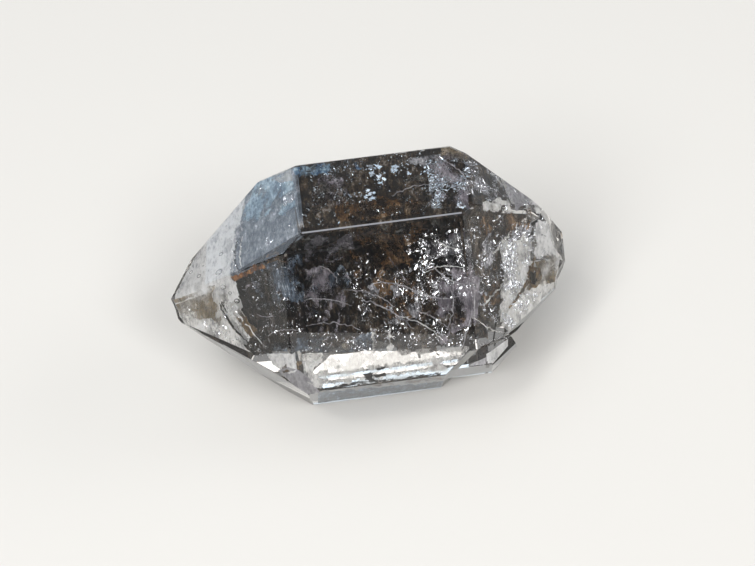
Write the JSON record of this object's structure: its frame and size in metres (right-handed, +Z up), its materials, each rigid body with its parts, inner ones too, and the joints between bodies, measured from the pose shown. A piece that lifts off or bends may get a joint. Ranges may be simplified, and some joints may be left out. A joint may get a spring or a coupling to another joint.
{
  "type": "petroleum quartz crystal",
  "caption": "Clear quartz crystal with a point at both ends, a small crystal fused to one corner, and brown petroleum stains and silvery cracks inside; lies on a long face.",
  "frame": {"origin": "on the resting face's plane, under the middle of the crystal's box", "axes": "+X along the crystal's long axis, towards the broken point; +Y to the back; +Z up from the resting face"},
  "size_m": [0.0185, 0.0102, 0.0095],
  "materials": {
    "quartz": "clear, glassy natural crystal faces with brown stains inside",
    "petroleum": "dark brown oily stains and specks inside the crystal"
  },
  "bodies": {
    "root": {"crystal": "quartz"}
  },
  "joints": []
}
